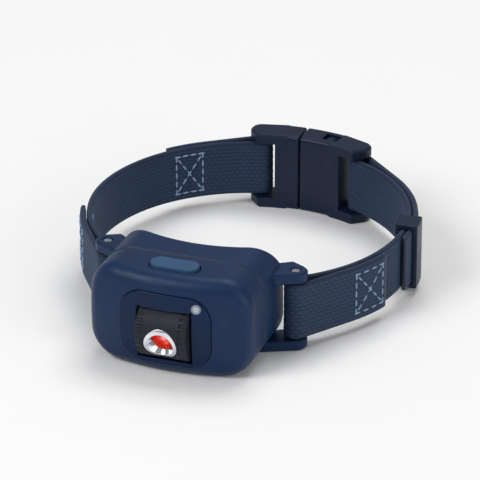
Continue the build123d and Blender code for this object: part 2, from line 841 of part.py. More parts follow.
def buckle_tongue():
    start = -mouth_gap / 2
    end = start - tongue_block
    tongue = clip_block(end, start) - grip_grooves((start + end) / 2)
    tongue += clip_ears(tongue_bar, clip_bearing(end), -1)
    arm_inner = cavity_inner + arm_clearance
    arm_outer = cavity_outer - arm_clearance
    arm_high = cavity_half - arm_play
    arm_low = arm_high - arm_height
    root = start - clip_edge
    tip = start + arm_length
    shoulder_end = shoulder_start + shoulder_length
    shoulder_high = ear_far - shoulder_inset
    arm = blunted(clip_part(arm_inner, arm_outer, arm_low, arm_high, root, tip))
    shoulder = clip_part(arm_inner, arm_outer, arm_low, shoulder_high, shoulder_start, shoulder_end)
    crest = shoulder.faces().sort_by(Axis.Z)[-1].edges().filter_by(GeomType.LINE).sort_by(Axis.X)
    shoulder = chamfer(crest[-1], shoulder_ramp)
    crest = shoulder.faces().sort_by(Axis.Z)[-1].edges().filter_by(GeomType.LINE).sort_by(Axis.X)
    arm += chamfer(crest[0], shoulder_release)
    tongue += arm + mirror(arm, Plane.XY)
    half_prong = prong_height / 2
    prong = clip_part(arm_inner, arm_outer, -half_prong, half_prong, root, start + prong_length)
    return tongue + blunted(prong)


def buckle_socket():
    start = mouth_gap / 2
    end = start + socket_length
    socket = clip_block(start, end) - grip_grooves((start + end) / 2)
    socket += clip_ears(socket_bar, clip_bearing(end), 1)
    cavity_end = end - clip_wall
    socket -= clip_part(cavity_inner, cavity_outer, -cavity_half, cavity_half, start - mouth_gap, cavity_end)
    window_from = shoulder_start - window_margin
    window_to = shoulder_start + shoulder_length + window_margin
    window_inner = cavity_inner + window_margin
    window_outer = cavity_outer - window_margin
    return socket - clip_part(window_inner, window_outer, -2 * ear_far, 2 * ear_far, window_from, window_to)


def tail_keeper():
    low = strap_width / 2 + keeper_clearance
    rim = low + keeper_wall
    outer = outer_layer + strap_thickness / 2 + keeper_clearance
    section = ring_section(neck_radius, outer + keeper_wall, -rim, rim, keeper_wall / 2)
    section -= ring_section(neck_radius + keeper_wall, outer, -low, low)
    half = math.degrees(keeper_length / outer_layer) / 2
    keeper = ring_part(section, keeper_bearing - half, keeper_bearing + half)
    ends = [face.outer_wire().edges() for face in keeper.faces().filter_by(GeomType.PLANE).sort_by(Axis.Y)]
    return fillet(ends[0] + ends[-1], keeper_edge)


pieces = {
    "front_shell": front_shell(),
    "face_plate": face_plate(),
    "rear_cover": rear_cover(),
    "seal_gasket": seal_gasket(),
    "cover_screws": cover_screws(),
    "laser_turret": laser_turret(),
    "laser_barrel": laser_barrel(),
    "aperture_bezel": aperture_bezel(),
    "collimating_lens": collimating_lens(),
    "lens_nut": lens_nut(),
    "laser_diode": laser_diode(),
    "turret_retainer": turret_retainer(),
    "circuit_board": circuit_board(),
    "board_components": board_components(),
    "mode_switch": mode_switch(),
    "switch_plunger": switch_plunger(),
    "mode_button": mode_button(),
    "status_led": status_led(),
    "light_pipe": light_pipe(),
    "usb_port": usb_port(),
    "port_flap": port_flap(),
    "battery_cell": battery_cell(),
    "battery_pad": battery_pad(),
    "battery_leads": battery_leads(),
    "laser_leads": laser_leads(),
    "left_strap_pin": strap_pin(-1),
    "right_strap_pin": strap_pin(1),
    "left_strap": left_strap(),
    "right_strap": right_strap(),
    "buckle_tongue": buckle_tongue(),
    "buckle_socket": buckle_socket(),
    "tail_keeper": tail_keeper(),
}

os.makedirs("parts", exist_ok=True)
for name, piece in pieces.items():
    export_step(piece, f"parts/{name}.step")
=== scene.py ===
"""Looks of a laser collar: a navy throat pod with a tilting laser turret on a webbing band."""

import json
import math

import bmesh
import bpy
import numpy as np
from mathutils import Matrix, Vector


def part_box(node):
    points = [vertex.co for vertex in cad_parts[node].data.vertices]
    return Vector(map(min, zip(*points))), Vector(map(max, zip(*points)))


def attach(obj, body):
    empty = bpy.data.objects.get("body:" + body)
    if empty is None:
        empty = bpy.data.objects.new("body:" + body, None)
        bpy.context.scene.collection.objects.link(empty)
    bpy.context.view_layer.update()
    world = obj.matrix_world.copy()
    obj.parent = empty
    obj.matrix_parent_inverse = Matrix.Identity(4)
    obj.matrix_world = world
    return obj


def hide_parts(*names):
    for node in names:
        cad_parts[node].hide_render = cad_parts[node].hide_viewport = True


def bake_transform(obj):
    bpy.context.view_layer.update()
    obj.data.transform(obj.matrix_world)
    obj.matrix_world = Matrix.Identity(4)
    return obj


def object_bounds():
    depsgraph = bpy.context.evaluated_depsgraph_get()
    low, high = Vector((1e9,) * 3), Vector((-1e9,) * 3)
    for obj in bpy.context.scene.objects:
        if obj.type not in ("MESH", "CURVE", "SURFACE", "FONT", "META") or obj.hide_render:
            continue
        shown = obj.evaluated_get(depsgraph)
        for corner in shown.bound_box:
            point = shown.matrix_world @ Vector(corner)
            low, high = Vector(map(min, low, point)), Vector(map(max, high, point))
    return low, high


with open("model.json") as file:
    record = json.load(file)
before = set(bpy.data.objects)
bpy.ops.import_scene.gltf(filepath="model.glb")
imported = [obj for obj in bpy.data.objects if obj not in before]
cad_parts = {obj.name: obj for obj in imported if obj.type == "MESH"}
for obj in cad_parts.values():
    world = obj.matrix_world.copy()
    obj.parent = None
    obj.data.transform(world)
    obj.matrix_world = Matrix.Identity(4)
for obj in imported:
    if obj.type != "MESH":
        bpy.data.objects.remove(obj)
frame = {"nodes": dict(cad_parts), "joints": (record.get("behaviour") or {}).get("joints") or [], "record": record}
cad_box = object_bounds()
nodes = frame["nodes"]
joints = {joint["name"]: joint for joint in frame["joints"]}
mounts = {mount["name"]: mount for mount in frame["record"]["mounts"]}

# Lengths are in metres, and the bearings of the clip's bars in degrees from the pod
MM = 0.001
NECK_RADIUS = mounts["neck_loop"]["dims"]["r_mm"] * MM

# Webbing folded round its bars, at the model's own sizes
STRAP_THICKNESS = 1.3 * MM
LAYER_GAP = 0.05 * MM
BAR_RADIUS = 1.0 * MM
WRAP_CLEARANCE = 0.1 * MM
FRONT_FOLD = 10.0 * MM
TONGUE_FOLD = 9.0 * MM
TAIL_LENGTH = 30.0 * MM
TONGUE_BAR = 164.78
SOCKET_BAR = 157.13

# Weave of the webbing
STATION_STEP = 0.26 * MM
LEAST_STEPS = 3
SELVEDGE = 0.55 * MM
SELVEDGE_POINTS = 4
WARP_COLUMNS = 13
WARP_POINTS = 4
COLUMN_TRIM = 1e-6
WEFT_PITCH = 1.25 * MM
WEAVE_RELIEF = 0.11 * MM
WEAVE_LOW = 0.35
SEALED_END = 0.9 * MM
SEALED_THINNING = 0.18

# Sewing
STITCH_PITCH = 1.75 * MM
STITCH_LENGTH = 1.5 * MM
THREAD_RADIUS = 0.2 * MM
THREAD_SINK = 0.04 * MM
STITCH_MARGIN = 1.3 * MM
STITCH_HALF_WIDTH = 4.3 * MM
STITCH_SIDES = 8
STITCH_RINGS = 6
SEAM_POINTS = 24
SIDE_STOP = 0.05
CROSS_STOP = 0.13

# Leads from the laser to the board
LEAD_MERGE = 0.001 * MM
LEAD_SLICE = 0.3 * MM

# Edges that wear and carry a painted highlight, at the model's own sizes: the pod's corners, dome and rear rim,
# the clip and the keeper
POD_CORNER = 6.5 * MM
DOME_RADIUS = 46.0 * MM
DOME_CENTRE = -3.0 * MM
COVER_RIM = -37.4 * MM
CLIP_OUTER = 37.15 * MM
KEEPER_OUTER = 35.75 * MM

# How deep and how wide the wear and painted highlight are
EDGE_DEPTH = 0.9 * MM
EDGE_WIDTH = 0.9 * MM
RIM_WIDTH = 0.5 * MM

# Hairline scratches on the mouldings
HAIRLINE_STRETCH = (0.06, 1.0, 1.0)
HAIRLINE_SCALE = 1200.0
HAIRLINE_WIDTH = 0.04
HAIRLINE_TURNS = ((0.3, 0.5, 0.4), (-0.2, -0.9, 0.3))

# Stretch of the lines in bare metal, long along one axis
EVEN_LINES = (1.0, 1.0, 1.0)
UPRIGHT_LINES = (1.0, 1.0, 0.05)
FORWARD_LINES = (1.0, 0.05, 1.0)

# Lit lens, and the light guide's painted rim shade, as distances from their axes
LASER_HEART = 0.15 * MM
LASER_HALO = 0.85 * MM
GUIDE_MIDDLE = 0.45 * MM
GUIDE_RIM = 0.8 * MM

# Copper tracks of the board
TRACK_WIDTH = 0.06 * MM
TRACK_RUN = 2.9 * MM
TRACK_PITCH = 0.62 * MM

# Camera and stage
VIEW_AZIMUTH = 20.0
VIEW_ELEVATION = 26.0
VIEW_DISTANCE = 0.75
VIEW_MIDDLE = Vector((0.0, -5.5 * MM, 1.2 * MM))
VIEW_SPAN = 98.0 * MM
SENSOR_WIDTH = 36.0
CLIP_RANGE = (0.01, 30.0)
FLOOR_REACH = 6.0
FLOOR_LIT = 0.11
FLOOR_UNLIT = 0.45
WORLD_STRENGTH = 0.30


def colour(red, green, blue):
    return (red, green, blue, 1.0)


WHITE = colour(1.0, 1.0, 1.0)
NAVY = colour(0.0035, 0.0185, 0.0680)
# Lighter navy: flow, grain and wear, and the painted highlight on rubs and edges
NAVY_WEAR_AND_HIGHLIGHT = colour(0.0090, 0.0370, 0.1080)
INK_BLUE = colour(0.005, 0.012, 0.034)
NYLON = colour(0.003, 0.010, 0.032)
# Lighter nylon: random tone, and the painted highlight on raised yarns
NYLON_TONE_AND_PAINTED_LIGHT = colour(0.016, 0.048, 0.120)


class Value:
    """A shader socket; arithmetic on it adds Math nodes."""

    def __init__(self, finish, socket):
        self.finish = finish
        self.socket = socket

    def math(self, operation, *values):
        return self.finish.node("ShaderNodeMath", {"operation": operation}, dict(enumerate(values)))

    def __add__(self, other):
        return self.math("ADD", self, other)

    def __radd__(self, other):
        return self.math("ADD", other, self)

    def __sub__(self, other):
        return self.math("SUBTRACT", self, other)

    def __rsub__(self, other):
        return self.math("SUBTRACT", other, self)

    def __mul__(self, other):
        return self.math("MULTIPLY", self, other)

    def __rmul__(self, other):
        return self.math("MULTIPLY", other, self)

    def __pow__(self, other):
        return self.math("POWER", self, other)

    def size(self):
        return self.math("ABSOLUTE", self)

    def above(self, level):
        return self.math("MAXIMUM", self, level)


class Finish:
    """A procedural material: one Principled shader and the nodes that feed it."""

    def __init__(self, name, **constants):
        self.material = bpy.data.materials.new(name)
        self.material.use_nodes = True
        self.tree = self.material.node_tree
        self.shader = self.tree.nodes["Principled BSDF"]
        for label, value in constants.items():
            self.shader.inputs[label.replace("_", " ")].default_value = value

    def node(self, kind, settings=None, inputs=None, output=0):
        """Any node: its type, its settings, the values or links of its sockets, and the output to use."""
        made = self.tree.nodes.new(kind)
        for label, value in (settings or {}).items():
            if label == "stops":
                self.set_stops(made.color_ramp, value)
            else:
                setattr(made, label, value)
        for label, value in (inputs or {}).items():
            self.feed(made.inputs[label], value)
        return Value(self, made.outputs[output])

    def set_stops(self, ramp, stops):
        while len(ramp.elements) < len(stops):
            ramp.elements.new(1.0)
        for element, (place, shade) in zip(ramp.elements, stops):
            element.position = place
            element.color = shade

    def feed(self, socket, value):
        if isinstance(value, Value):
            self.tree.links.new(value.socket, socket)
        else:
            socket.default_value = value

    def set(self, label, value):
        self.feed(self.shader.inputs[label], value)

    def surface(self, shader):
        self.feed(self.tree.nodes["Material Output"].inputs["Surface"], shader)

    def place(self):
        return self.node("ShaderNodeTexCoord", output="Object")

    def axis(self, label):
        return self.node("ShaderNodeSeparateXYZ", {}, {"Vector": self.place()}, label)

    def turned(self, **changes):
        return self.node("ShaderNodeMapping", {}, {"Vector": self.place(), **changes})

    def noise(self, scale, detail=2.0, roughness=0.5, vector=None):
        """Noise with about so many cells a metre."""
        inputs = {"Vector": vector or self.place(), "Scale": scale, "Detail": detail, "Roughness": roughness}
        return self.node("ShaderNodeTexNoise", {}, inputs)

    def ramp(self, factor, *stops):
        greys = [(place, colour(level, level, level)) for place, level in stops]
        return self.node("ShaderNodeValToRGB", {"stops": greys}, {"Fac": factor})

    def mix(self, factor, first, second):
        return self.node("ShaderNodeMix", {"data_type": "RGBA"}, {0: factor, 6: first, 7: second}, 2)

    def bump(self, height, distance, strength):
        return self.node("ShaderNodeBump", {}, {"Height": height, "Distance": distance, "Strength": strength})

    def attribute(self, name):
        return self.node("ShaderNodeAttribute", {"attribute_name": name}, {}, "Fac")

    def ray(self, kind):
        return self.node("ShaderNodeLightPath", output=f"Is {kind} Ray")

    def rise(self, value, low, high):
        """0 up to a low level, rising smoothly to 1 at a high one."""
        inputs = {"Value": value, "From Min": low, "From Max": high}
        return self.node("ShaderNodeMapRange", {"interpolation_type": "SMOOTHSTEP"}, inputs)

    def near(self, value, level, width):
        """1 where a value is at a level, falling smoothly to 0 a width away."""
        return 1.0 - self.rise((value - level).size(), 0.0, width)

    def from_axis(self, node):
        """Distance from the line along Y through the middle of a node's box."""
        low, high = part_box(node)
        across = self.axis("X") - (low.x + high.x) / 2
        up = self.axis("Z") - (low.z + high.z) / 2
        return (across ** 2.0 + up ** 2.0) ** 0.5

    def hairlines(self, turn):
        """Fine scratches, long in one direction, in some places only."""
        stretched = self.turned(Rotation=turn, Scale=HAIRLINE_STRETCH)
        lines = self.noise(HAIRLINE_SCALE, vector=stretched)
        where = self.ramp(self.noise(150.0, detail=3.0), (0.50, 0.0), (0.64, 1.0))
        return self.near(lines, 0.5, HAIRLINE_WIDTH) * where


def moulded(name, base, wear_and_highlight_colour, roughness, grain=0.20 * MM, edges=None):
    """Injection-moulded plastic: spark-eroded grain, flow marks, polished rubs, hairlines and edge wear; rubs and
    edges are painted lighter, partly as wear and partly as a painted highlight.
    """
    finish = Finish(name, Specular_IOR_Level=0.24)
    fine = finish.noise(1.0 / grain)
    flow = finish.noise(70.0, detail=3.0, roughness=0.55)
    rub_and_painted_sheen = finish.ramp(finish.noise(240.0, detail=5.0, roughness=0.62), (0.56, 0.0), (0.74, 1.0))
    hair = finish.hairlines(HAIRLINE_TURNS[0]) + finish.hairlines(HAIRLINE_TURNS[1])
    # Rubbed spots and edges are painted lighter: partly wear, partly a painted highlight
    wear_and_painted_highlight = rub_and_painted_sheen * 0.3
    if edges:
        patchy = finish.ramp(finish.noise(700.0, detail=4.0, roughness=0.65), (0.35, 0.25), (0.65, 1.0))
        wear_and_painted_highlight = wear_and_painted_highlight + edges(finish) * patchy * 0.75
    finish.set("Base Color", finish.mix(flow * 0.3 + (fine - 0.5) * 0.5 + wear_and_painted_highlight + hair * 0.35, base, wear_and_highlight_colour))
    finish.set("Roughness", roughness + (flow - 0.5) * 0.12 + (fine - 0.5) * 0.2 - wear_and_painted_highlight * 0.16 + hair * 0.1)
    finish.set("Normal", finish.bump(fine, 0.03 * MM, 0.9))
    return finish.material


def pod_edges(finish):
    """The rounded front edge of the pod and the two rims at its parting line, which wear and a painted highlight
    make lighter.
    """
    low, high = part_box("front_shell")
    half_width = (high.x - low.x) / 2
    half_height = (high.z - low.z) / 2
    from_middle = finish.axis("Z") - (low.z + high.z) / 2
    past_x = (finish.axis("X").size() - (half_width - POD_CORNER)).above(0.0)
    past_z = (from_middle.size() - (half_height - POD_CORNER)).above(0.0)
    inside = POD_CORNER - (past_x ** 2.0 + past_z ** 2.0) ** 0.5
    behind = finish.axis("Y") - DOME_CENTRE
    depth = DOME_RADIUS - (finish.axis("X") ** 2.0 + from_middle ** 2.0 + behind ** 2.0) ** 0.5
    front = finish.near(inside, EDGE_DEPTH, EDGE_WIDTH) * finish.near(depth, EDGE_DEPTH, EDGE_WIDTH)
    shell_rim = finish.near(finish.axis("Y"), high.y, RIM_WIDTH)
    cover_rim = finish.near(finish.axis("Y"), COVER_RIM, RIM_WIDTH)
    return front + (shell_rim + cover_rim) * finish.near(inside, 0.0, RIM_WIDTH)


def clip_edges(finish):
    """The long edges of the clip halves, and those of the keeper, which wear and a painted highlight make lighter.
    """
    clip_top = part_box("buckle_socket")[1].z
    keeper_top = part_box("tail_keeper")[1].z
    radius = (finish.axis("X") ** 2.0 + finish.axis("Y") ** 2.0) ** 0.5
    height = finish.axis("Z").size()
    rims = finish.near(radius, CLIP_OUTER, EDGE_WIDTH) + finish.near(radius, NECK_RADIUS, EDGE_WIDTH)
    keeper = finish.near(radius, KEEPER_OUTER, RIM_WIDTH) * finish.near(height, keeper_top, RIM_WIDTH)
    return rims * finish.near(height, clip_top, EDGE_WIDTH) + keeper


def gloss(name, base, second):
    """Polished moulding under a clear hard coat, with hairline scuffs."""
    finish = Finish(name, Coat_Weight=0.15, Coat_Roughness=0.05, Specular_IOR_Level=0.12)
    cloud = finish.noise(120.0, detail=3.0)
    scuff = finish.ramp(finish.noise(900.0, detail=6.0, roughness=0.7), (0.6, 0.0), (0.78, 1.0))
    finish.set("Base Color", finish.mix(cloud, base, second))
    finish.set("Roughness", 0.16 + cloud * 0.06 + scuff * 0.14)
    finish.set("Normal", finish.bump(cloud, 0.02 * MM, 0.25))
    return finish.material


def rubber(name, base, dusty):
    """Silicone with a dry, slightly dusty skin."""
    finish = Finish(name)
    skin = finish.noise(3800.0, detail=3.0)
    dust = finish.ramp(finish.noise(420.0, detail=5.0, roughness=0.6), (0.45, 0.0), (0.8, 1.0))
    finish.set("Base Color", finish.mix(dust * 0.5, base, dusty))
    finish.set("Roughness", 0.6 + skin * 0.15 + dust * 0.1)
    finish.set("Normal", finish.bump(skin, 0.015 * MM, 0.5))
    return finish.material


def metal(name, base, tarnish, roughness, stretch=EVEN_LINES, scale=2500.0):
    """Bare metal with fine drawn or turned lines, and some tarnish."""
    finish = Finish(name, Metallic=1.0)
    lines = finish.noise(scale, detail=3.0, roughness=0.6, vector=finish.turned(Scale=stretch))
    stain = finish.noise(300.0, detail=4.0, roughness=0.6)
    finish.set("Base Color", finish.mix(stain * 0.5, base, tarnish))
    finish.set("Roughness", roughness + (lines - 0.5) * 0.16 + stain * 0.05)
    finish.set("Normal", finish.bump(lines, 0.008 * MM, 0.5))
    return finish.material


def woven_nylon(name, base, lit, sealed):
    """Nylon webbing: painted shade darkens the yarns in the hollows and a painted highlight lightens the raised
    ones, a fine twist on each yarn, and melted ends.
    """
    finish = Finish(name, Sheen_Weight=0.2, Sheen_Roughness=0.45, Sheen_Tint=colour(0.35, 0.5, 0.7))
    lift = finish.attribute("lift")
    melt = finish.attribute("melt")
    along = finish.node("ShaderNodeUVMap", {"uv_map": "weave"})
    bands = {"wave_type": "BANDS", "bands_direction": "DIAGONAL"}
    lay = {"Vector": along, "Scale": 2.6, "Distortion": 1.2, "Detail": 1.0}
    twist = finish.node("ShaderNodeTexWave", bands, lay, "Fac")
    tone = finish.noise(160.0, detail=4.0, roughness=0.6)
    yarn = finish.noise(2600.0)
    # Lift paints shade in the hollows and a highlight on raised yarns; tone and yarn noise vary the colour at
    # random
    cloth = finish.mix(lift * 0.55 + tone * 0.25 + yarn * 0.2, base, lit)
    finish.set("Base Color", finish.mix(melt, cloth, sealed))
    finish.set("Roughness", 0.82 - lift * 0.12 - melt * 0.4)
    finish.set("Normal", finish.bump(twist * (1 - melt) + yarn * 0.4, 0.04 * MM, 0.7))
    return finish.material


def sewing_thread(name, base, lit):
    """Twisted thread with a soft sheen, and a painted highlight on the raised twist."""
    finish = Finish(name, Roughness=0.55, Sheen_Weight=0.2)
    twist = finish.noise(5200.0)
    # The lit colour is a painted highlight where the twist stands up in the bump
    finish.set("Base Color", finish.mix(twist, base, lit))
    finish.set("Normal", finish.bump(twist, 0.03 * MM, 0.6))
    return finish.material


def lens_glass(name):
    """Coated lens lit from behind by the laser, hottest on its axis."""
    finish = Finish(name, Roughness=0.04, Coat_Weight=1.0, Coat_Roughness=0.02, Emission_Strength=0.9)
    cloud = finish.noise(1500.0)
    glow = finish.mix(cloud, colour(0.42, 0.002, 0.004), colour(0.60, 0.010, 0.010))
    heart = 1.0 - finish.rise(finish.from_axis("collimating_lens"), LASER_HEART, LASER_HALO)
    finish.set("Base Color", finish.mix(cloud, colour(0.30, 0.005, 0.008), colour(0.45, 0.012, 0.015)))
    finish.set("Emission Color", finish.mix(heart, glow, colour(1.0, 0.30, 0.26)))
    return finish.material


def frosted_light(name):
    """Frosted light guide, with painted shade darkening it towards its rim."""
    finish = Finish(name, Coat_Weight=0.4)
    cloud = finish.noise(1800.0, detail=3.0)
    milky = finish.mix(cloud, colour(0.34, 0.40, 0.46), colour(0.46, 0.53, 0.60))
    # Painted shade towards the rim of the guide
    rim = finish.rise(finish.from_axis("light_pipe"), GUIDE_MIDDLE, GUIDE_RIM)
    finish.set("Base Color", finish.mix(rim, milky, colour(0.16, 0.20, 0.26)))
    finish.set("Roughness", 0.3 + cloud * 0.2)
    return finish.material


def solder_mask(name):
    """Green solder mask on the upright board, paler and raised over the copper tracks."""
    finish = Finish(name, Roughness=0.4, Coat_Weight=0.3)
    facing = finish.turned(Rotation=(math.pi / 2, 0.0, 0.0))
    steps = {"offset": 0.37, "offset_frequency": 3, "squash": 0.45, "squash_frequency": 2}
    sizes = {"Scale": 1.0, "Mortar Size": TRACK_WIDTH, "Mortar Smooth": 0.2, "Brick Width": TRACK_RUN,
             "Row Height": TRACK_PITCH}
    grid = finish.node("ShaderNodeTexBrick", steps, {"Vector": facing, **sizes}, "Fac")
    cloud = finish.noise(300.0, detail=3.0)
    tracks = grid * finish.ramp(cloud, (0.46, 0.0), (0.48, 1.0))
    bare = finish.mix(cloud, colour(0.010, 0.095, 0.040), colour(0.014, 0.125, 0.052))
    finish.set("Base Color", finish.mix(tracks, bare, colour(0.024, 0.21, 0.09)))
    finish.set("Normal", finish.bump(tracks, 0.03 * MM, 0.5))
    return finish.material


steel = metal("drawn_steel", colour(0.62, 0.63, 0.65), colour(0.45, 0.46, 0.48), 0.26, UPRIGHT_LINES)
finishes = {
    "shell": moulded("navy_satin_shell", NAVY, NAVY_WEAR_AND_HIGHLIGHT, 0.42, edges=pod_edges),
    "plate": gloss("navy_gloss_plate", colour(0.001, 0.011, 0.046), colour(0.002, 0.016, 0.064)),
    "drum": moulded("graphite_drum", colour(0.012, 0.014, 0.022), colour(0.028, 0.032, 0.045), 0.5),
    "clip": moulded("ink_blue_clip", INK_BLUE, colour(0.013, 0.029, 0.066), 0.36, 0.22 * MM, clip_edges),
    "seal": rubber("dark_silicone", colour(0.010, 0.013, 0.022), colour(0.030, 0.036, 0.050)),
    "button": rubber("blue_soft_touch", colour(0.016, 0.070, 0.165), colour(0.035, 0.110, 0.220)),
    "bezel": metal("polished_bezel", colour(0.80, 0.82, 0.86), colour(0.66, 0.69, 0.75), 0.14),
    "brass": metal("turned_brass", colour(0.75, 0.53, 0.22), colour(0.52, 0.36, 0.15), 0.3, FORWARD_LINES),
    "screw": steel,
    "pin": steel,
    "metal": steel,
    "lens": lens_glass("red_lit_lens"),
    "light": frosted_light("frosted_light_guide"),
    "board": solder_mask("green_solder_mask"),
    "chip": moulded("black_epoxy", colour(0.010, 0.010, 0.011), colour(0.022, 0.022, 0.024), 0.55),
    "cell": metal("foil_pouch", colour(0.70, 0.71, 0.73), colour(0.58, 0.59, 0.61), 0.4, scale=900.0),
    "foam": rubber("grey_foam", colour(0.035, 0.036, 0.040), colour(0.075, 0.076, 0.080)),
    "wire": rubber("red_insulation", colour(0.30, 0.010, 0.010), colour(0.40, 0.025, 0.025)),
    "webbing": woven_nylon("navy_webbing", NYLON, NYLON_TONE_AND_PAINTED_LIGHT, sealed=INK_BLUE),
    "thread": sewing_thread("pale_blue_thread", colour(0.16, 0.26, 0.45), colour(0.30, 0.42, 0.62)),
}


def dress_nodes():
    """Give every node the finish of its material slot."""
    for subpart in frame["record"]["subparts"]:
        mesh = nodes[subpart["node"]].data
        mesh.materials.clear()
        mesh.materials.append(finishes[subpart["material_slot"]])


def link(name, data):
    made = bpy.data.objects.new(name, data)
    bpy.context.scene.collection.objects.link(made)
    return made


def ahead(heading):
    return np.array([math.cos(heading), math.sin(heading)])


def left_of(heading):
    return np.array([-math.sin(heading), math.cos(heading)])


class Webbing:
    """One half of the band, folded back outside itself at both ends.

    Its path is worked out in plan for the right side of the collar; side is 1 there and -1 on the left.
    """

    def __init__(self, clip_bar, clip_fold, side):
        lug = Vector(joints["right_half_swing"]["pos_m"])
        low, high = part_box("right_strap")
        self.side = side
        self.half_width = (high.z - low.z) / 2
        self.half = STRAP_THICKNESS / 2
        orbit = math.hypot(lug.x, lug.y)
        wrap = BAR_RADIUS + WRAP_CLEARANCE + self.half
        self.inner = orbit - wrap
        outer = self.inner + STRAP_THICKNESS + LAYER_GAP
        self.lug_bearing = math.atan2(lug.x, -lug.y)
        lead = math.acos((outer - wrap) / orbit)
        front_turn = FRONT_FOLD / outer
        clip_turn = clip_fold / outer
        span = math.radians(clip_bar) - self.lug_bearing
        run = orbit * math.sin(lead)
        wrap_turn = math.pi + lead
        moves = [
            (outer, -front_turn),
            (None, run),
            (wrap, -wrap_turn),
            (self.inner, span),
            (wrap, -wrap_turn),
            (None, run),
            (outer, -clip_turn),
        ]
        self.trace(outer, self.lug_bearing + lead + front_turn, moves)
        self.inner_start = FRONT_FOLD + run + wrap * wrap_turn
        self.length = self.along[-1]

    def trace(self, radius, bearing, moves):
        """Points, left-hand normals and lengths along tangent straight runs and arcs."""
        point = radius * np.array([math.sin(bearing), -math.cos(bearing)])
        heading = bearing - math.pi
        points, normals, along = [], [], []
        travelled = 0.0
        for turn_radius, amount in moves:
            length = amount if turn_radius is None else turn_radius * abs(amount)
            steps = max(LEAST_STEPS, math.ceil(length / STATION_STEP))
            start = point
            first_heading = heading
            for step in range(1 if along else 0, steps + 1):
                share = step / steps
                if turn_radius is None:
                    point = start + amount * share * ahead(heading)
                else:
                    heading = first_heading + amount * share
                    signed_radius = math.copysign(turn_radius, amount)
                    point = start + signed_radius * (left_of(first_heading) - left_of(heading))
                points.append(point)
                normals.append(left_of(heading))
                along.append(travelled + length * share)
            travelled += length
        self.points = np.array(points)
        self.normals = np.array(normals)
        self.along = np.array(along)

    def at(self, along, across, lift):
        """Place in space of a length along the band, a height across it and an offset from its middle."""
        columns = (*self.points.T, *self.normals.T)
        x, y, normal_x, normal_y = [np.interp(along, self.along, column) for column in columns]
        return Vector((self.side * (x + normal_x * lift), y + normal_y * lift, across))

    def section(self):
        """Ring of points round the webbing: place across it, offset from its middle, and outward face."""
        flat = self.half_width - SELVEDGE
        face = np.linspace(-flat, flat, WARP_COLUMNS * WARP_POINTS + 1)
        bend = np.linspace(0, math.pi, SELVEDGE_POINTS + 2)[1:-1]
        rim = flat + SELVEDGE * np.sin(bend)
        rim_lift = self.half * np.cos(bend)
        face_lift = np.full_like(face, self.half - WEAVE_RELIEF)
        on_face = np.ones_like(face)
        on_rim = np.zeros_like(bend)
        across = np.concatenate([face, rim, face[::-1], -rim])
        lift = np.concatenate([face_lift, rim_lift, -face_lift, -rim_lift])
        outward = np.concatenate([on_face, on_rim, -on_face, on_rim])
        return across, lift, outward

    def weave(self, across, outward):
        """How far the yarns stand up, and how far they are melted, from 0 to 1, round every station."""
        flat = self.half_width - SELVEDGE
        column = np.clip((across + flat) / (2 * flat) * WARP_COLUMNS, 0, WARP_COLUMNS - COLUMN_TRIM)
        rib = np.abs(np.sin(math.pi * column)) * np.abs(outward)
        phase = 0.5 * (np.floor(column) % 2)
        length = self.along[:, None]
        tick = 0.5 + 0.5 * np.cos(2 * math.pi * (length / WEFT_PITCH + phase))
        to_end = np.minimum(length, self.length - length)
        melt = np.clip(1 - to_end / SEALED_END, 0, 1)
        raised = rib * (WEAVE_LOW + (1 - WEAVE_LOW) * tick) * (1 - melt)
        return raised, np.broadcast_to(melt, raised.shape)

    def mesh(self, name):
        across, lift, outward = self.section()
        raised, melt = self.weave(across, outward)
        offset = lift * (1 - SEALED_THINNING * melt) + outward * WEAVE_RELIEF * raised
        xs = self.side * (self.points[:, :1] + self.normals[:, :1] * offset)
        ys = self.points[:, 1:] + self.normals[:, 1:] * offset
        zs = np.broadcast_to(across, xs.shape)
        here = np.arange(xs.size).reshape(xs.shape)
        beside = np.roll(here, -1, axis=1)
        walls = np.stack([here[:-1], beside[:-1], beside[1:], here[1:]], axis=2).reshape(-1, 4)
        ends = [here[0, ::-1].tolist(), here[-1].tolist()]
        mesh = bpy.data.meshes.new(name)
        mesh.from_pydata(np.stack([xs, ys, zs], axis=2).reshape(-1, 3).tolist(), [], walls.tolist() + ends)
        for label, values in (("lift", raised), ("melt", melt)):
            layer = mesh.attributes.new(label, "FLOAT", "POINT")
            layer.data.foreach_set("value", np.ravel(values).astype(np.float32))
        unrolled = np.stack([np.broadcast_to(self.along[:, None], xs.shape), zs], axis=2).reshape(-1, 2) / MM
        corners = np.zeros(len(mesh.loops), np.int32)
        mesh.loops.foreach_get("vertex_index", corners)
        weave_map = mesh.uv_layers.new(name="weave")
        weave_map.data.foreach_set("uv", np.ravel(unrolled[corners]).astype(np.float32))
        work = bmesh.new()
        work.from_mesh(mesh)
        bmesh.ops.recalc_face_normals(work, faces=work.faces)
        work.to_mesh(mesh)
        work.free()
        mesh.shade_smooth()
        mesh.materials.append(finishes["webbing"])
        return mesh


